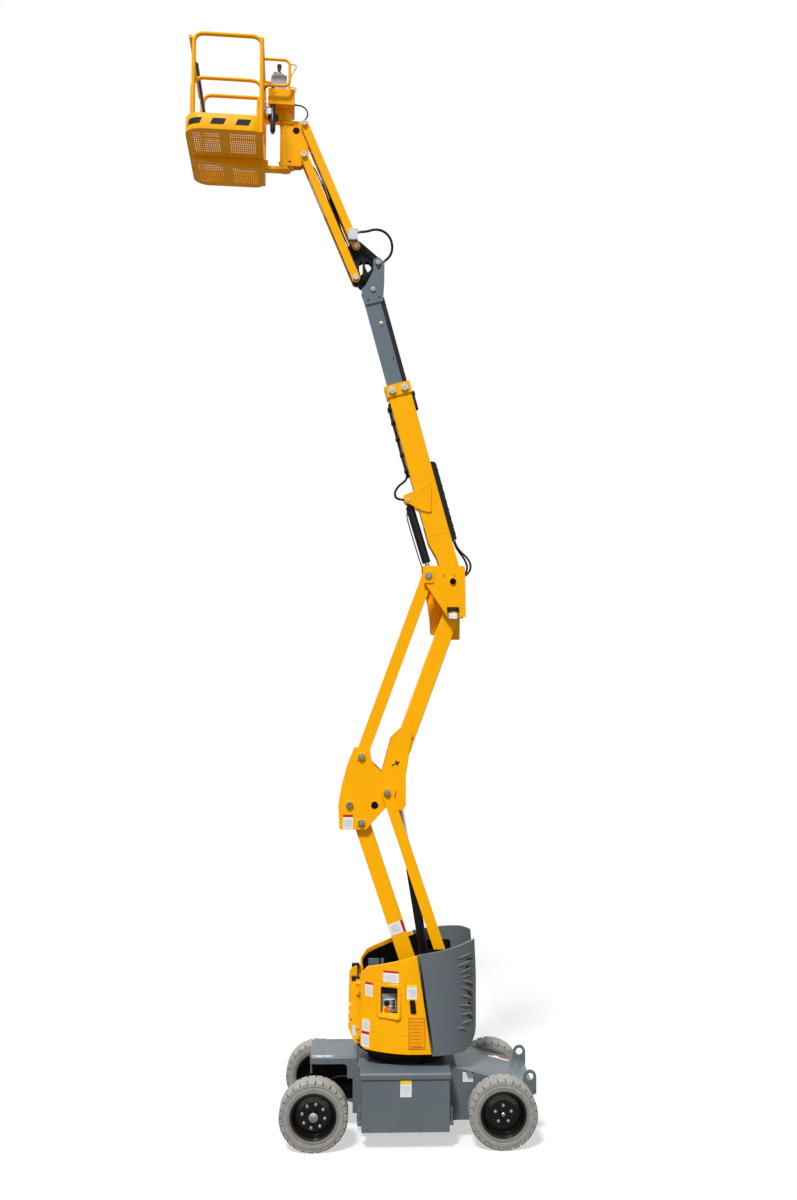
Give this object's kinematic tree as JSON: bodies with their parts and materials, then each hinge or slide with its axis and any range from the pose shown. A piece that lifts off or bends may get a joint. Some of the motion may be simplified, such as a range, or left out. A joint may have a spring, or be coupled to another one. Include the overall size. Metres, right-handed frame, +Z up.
{
  "type": "articulating boom lift",
  "caption": "Self-propelled electric articulating boom lift: four-wheel chassis, slewing turret, two parallelogram risers, telescopic boom, levelled jib and rotating platform.",
  "frame": {"origin": "on the ground, on the slewing axis of the turret, half way between the axles", "axes": "+X forward, towards the steered axle, +Y to the left, +Z up"},
  "size_m": [3.284, 1.2426, 10.1256],
  "materials": {
    "yellow_paint": "gloss",
    "grey_paint": "satin",
    "black_paint": "satin",
    "axle_steel": "satin",
    "grey_rubber": "matte",
    "rod_chrome": "polished",
    "cover_plastic": "satin",
    "black_plastic": "matte",
    "box_metal": "satin",
    "hose_rubber": "matte"
  },
  "bodies": {
    "chassis": {"chassis_frame": "grey_paint", "slew_ring": "axle_steel", "front_axle": "axle_steel", "rear_axle": "axle_steel", "battery_box_left": "grey_paint", "battery_box_right": "grey_paint", "battery_lid_left": "grey_paint", "battery_lid_right": "grey_paint"},
    "steer_left": {"steering_knuckle_left": "axle_steel"},
    "steer_right": {"steering_knuckle_right": "axle_steel"},
    "turret": {"turret_frame": "grey_paint", "control_panel": "black_plastic", "turret_nose": "cover_plastic", "counterweight": "grey_paint"},
    "door_left": {"cover_left": "cover_plastic"},
    "door_right": {"cover_right": "cover_plastic"},
    "arm_lower": {"lower_arm": "yellow_paint"},
    "strut": {"lower_strut": "yellow_paint"},
    "knuckle_mid": {"mid_knuckle": "yellow_paint"},
    "arm_upper": {"upper_arm": "yellow_paint"},
    "tie": {"upper_tie": "yellow_paint"},
    "knuckle_top": {"top_knuckle": "yellow_paint", "root_hose_left": "hose_rubber", "root_hose_right": "hose_rubber"},
    "riser_barrel": {"riser_cylinder_barrel": "black_paint"},
    "riser_rod": {"riser_cylinder_rod": "rod_chrome"},
    "boom": {"boom_tube": "yellow_paint", "cable_tray": "black_plastic"},
    "boom_barrel": {"boom_cylinder_barrel": "black_paint"},
    "boom_rod": {"boom_cylinder_rod": "rod_chrome"},
    "fly": {"fly_boom": "grey_paint"},
    "bracket": {"levelling_bracket": "grey_paint", "junction_box": "box_metal", "jib_hose": "hose_rubber"},
    "jib_lower": {"jib_bar_lower": "yellow_paint"},
    "jib_upper": {"jib_bar_upper": "yellow_paint"},
    "head": {"jib_head": "yellow_paint", "console_hose": "hose_rubber"},
    "jib_barrel": {"jib_cylinder_barrel": "black_paint"},
    "jib_rod": {"jib_cylinder_rod": "rod_chrome"},
    "platform": {"basket_floor": "yellow_paint", "basket_rails": "yellow_paint", "basket_support": "yellow_paint", "control_console": "grey_paint"},
    "gate": {"gate_bar": "black_paint"},
    "wheel_front_left": {"tyre_front_left": "grey_rubber", "rim_front_left": "black_paint"},
    "wheel_front_right": {"tyre_front_right": "grey_rubber", "rim_front_right": "black_paint"},
    "wheel_rear_left": {"tyre_rear_left": "grey_rubber", "rim_rear_left": "black_paint"},
    "wheel_rear_right": {"tyre_rear_right": "grey_rubber", "rim_rear_right": "black_paint"}
  },
  "joints": [
    {"name": "slew", "type": "hinge", "parent": "chassis", "child": "turret", "pos_m": [0, 0, 0.7], "axis": [0, 0, 1], "range_deg": [-177.5, 177.5]},
    {"name": "steer_left", "type": "hinge", "parent": "chassis", "child": "steer_left", "pos_m": [0.825, 0.452, 0.3], "axis": [0, 0, 1], "range_deg": [-40, 40]},
    {"name": "wheel_front_left", "type": "hinge", "parent": "steer_left", "child": "wheel_front_left", "pos_m": [0.825, 0.505, 0.3], "axis": [0, 1, 0], "continuous": true},
    {"name": "wheel_rear_left", "type": "hinge", "parent": "chassis", "child": "wheel_rear_left", "pos_m": [-0.825, 0.505, 0.3], "axis": [0, 1, 0], "continuous": true},
    {"name": "steer_right", "type": "hinge", "parent": "chassis", "child": "steer_right", "pos_m": [0.825, -0.452, 0.3], "axis": [0, 0, 1], "range_deg": [-40, 40]},
    {"name": "wheel_front_right", "type": "hinge", "parent": "steer_right", "child": "wheel_front_right", "pos_m": [0.825, -0.505, 0.3], "axis": [0, 1, 0], "continuous": true},
    {"name": "wheel_rear_right", "type": "hinge", "parent": "chassis", "child": "wheel_rear_right", "pos_m": [-0.825, -0.505, 0.3], "axis": [0, 1, 0], "continuous": true},
    {"name": "riser", "type": "hinge", "parent": "turret", "child": "arm_lower", "pos_m": [-0.08, 0, 1.283], "axis": [0, -1, 0], "range_deg": [-72, 0]},
    {"name": "strut_foot", "type": "hinge", "parent": "turret", "child": "strut", "pos_m": [-0.313, 0, 1.56], "axis": [0, -1, 0], "range_deg": [-72, 0]},
    {"name": "knuckle_mid_pin", "type": "hinge", "parent": "arm_lower", "child": "knuckle_mid", "pos_m": [0.42789, 0, 2.75801], "axis": [0, -1, 0], "range_deg": [0, 72]},
    {"name": "arm_upper_foot", "type": "hinge", "parent": "knuckle_mid", "child": "arm_upper", "pos_m": [0.19489, 0, 3.03501], "axis": [0, -1, 0], "range_deg": [0, 61]},
    {"name": "tie_foot", "type": "hinge", "parent": "knuckle_mid", "child": "tie", "pos_m": [0.43089, 0, 3.35801], "axis": [0, -1, 0], "range_deg": [0, 61]},
    {"name": "knuckle_top_pin", "type": "hinge", "parent": "arm_upper", "child": "knuckle_top", "pos_m": [-0.4163, 0, 4.71424], "axis": [0, -1, 0], "range_deg": [-61, 0]},
    {"name": "riser_cylinder_foot", "type": "hinge", "parent": "turret", "child": "riser_barrel", "pos_m": [-0.245, 0, 1.05], "axis": [0, -1, 0], "range_deg": [-68.12, 0]},
    {"name": "riser_cylinder_slide", "type": "slide", "parent": "riser_barrel", "child": "riser_rod", "axis": [0.165, 0, 0.9863], "range_m": [-0.38893, 0]},
    {"name": "boom_luff", "type": "hinge", "parent": "knuckle_top", "child": "boom", "pos_m": [-0.4093, 0, 4.98624], "axis": [0, 1, 0], "range_deg": [0, 80], "deforming": ["root_hose_left", "root_hose_right"]},
    {"name": "boom_cylinder_head", "type": "hinge", "parent": "boom", "child": "boom_barrel", "pos_m": [0.00795, 0, 5.75364], "axis": [0, 1, 0], "range_deg": [0, 4.28]},
    {"name": "boom_cylinder_slide", "type": "slide", "parent": "boom_barrel", "child": "boom_rod", "axis": [-0.2929, 0, -0.9561], "range_m": [-0.24792, 0]},
    {"name": "telescope", "type": "slide", "parent": "boom", "child": "fly", "axis": [0.2672, 0, 0.9636], "range_m": [-0.8, 0]},
    {"name": "platform_level", "type": "hinge", "parent": "fly", "child": "bracket", "pos_m": [0.30595, 0, 8.02564], "axis": [0, 1, 0], "range_deg": [-80, 0], "deforming": ["jib_hose"]},
    {"name": "jib", "type": "hinge", "parent": "bracket", "child": "jib_lower", "pos_m": [0.51595, 0, 7.87364], "axis": [0, 1, 0], "range_deg": [-3, 136.9]},
    {"name": "jib_upper_foot", "type": "hinge", "parent": "bracket", "child": "jib_upper", "pos_m": [0.51595, 0, 8.18364], "axis": [0, 1, 0], "range_deg": [-3, 136.9]},
    {"name": "head_level", "type": "hinge", "parent": "jib_lower", "child": "head", "pos_m": [1.02011, 0, 9.05561], "axis": [0, 1, 0], "range_deg": [-136.9, 3]},
    {"name": "jib_cylinder_foot", "type": "hinge", "parent": "bracket", "child": "jib_barrel", "pos_m": [0.56095, 0, 7.94364], "axis": [0, 1, 0], "range_deg": [-3.17, 140.37]},
    {"name": "jib_cylinder_slide", "type": "slide", "parent": "jib_barrel", "child": "jib_rod", "axis": [0.2911, 0, 0.9567], "range_m": [-0.45089, 0.01037]},
    {"name": "platform_turn", "type": "hinge", "parent": "head", "child": "platform", "pos_m": [1.20511, 0, 9.2], "axis": [0, 0, 1], "range_deg": [-93.5, 86.5], "deforming": ["console_hose"]},
    {"name": "gate_slide", "type": "slide", "parent": "platform", "child": "gate", "axis": [0, 0, 1], "range_m": [0, 0.3]},
    {"name": "cover_left_hinge", "type": "hinge", "parent": "turret", "child": "door_left", "pos_m": [0.44, 0.268, 1.2], "axis": [0, 0, -1], "range_deg": [0, 100]},
    {"name": "cover_right_hinge", "type": "hinge", "parent": "turret", "child": "door_right", "pos_m": [0.44, -0.268, 1.2], "axis": [0, 0, 1], "range_deg": [0, 100]}
  ],
  "couplings": [
    {"joint": "steer_right", "follows": "steer_left", "ratio": 1},
    {"joint": "strut_foot", "follows": "riser", "ratio": 1},
    {"joint": "knuckle_mid_pin", "follows": "riser", "ratio": -1},
    {"joint": "arm_upper_foot", "follows": "riser", "ratio": -0.8421},
    {"joint": "tie_foot", "follows": "riser", "ratio": -0.8421},
    {"joint": "knuckle_top_pin", "follows": "riser", "ratio": 0.8421},
    {"joint": "riser_cylinder_foot", "follows": "riser", "ratio": 0.9447},
    {"joint": "riser_cylinder_slide", "follows": "riser", "m_per_rad": 0.3091},
    {"joint": "boom_cylinder_head", "follows": "boom_luff", "ratio": 0.0523},
    {"joint": "boom_cylinder_slide", "follows": "boom_luff", "m_per_rad": -0.1772},
    {"joint": "platform_level", "follows": "boom_luff", "ratio": -1},
    {"joint": "jib_upper_foot", "follows": "jib", "ratio": 1},
    {"joint": "head_level", "follows": "jib", "ratio": -1},
    {"joint": "jib_cylinder_foot", "follows": "jib", "ratio": 1.0246},
    {"joint": "jib_cylinder_slide", "follows": "jib", "m_per_rad": -0.1885}
  ]
}
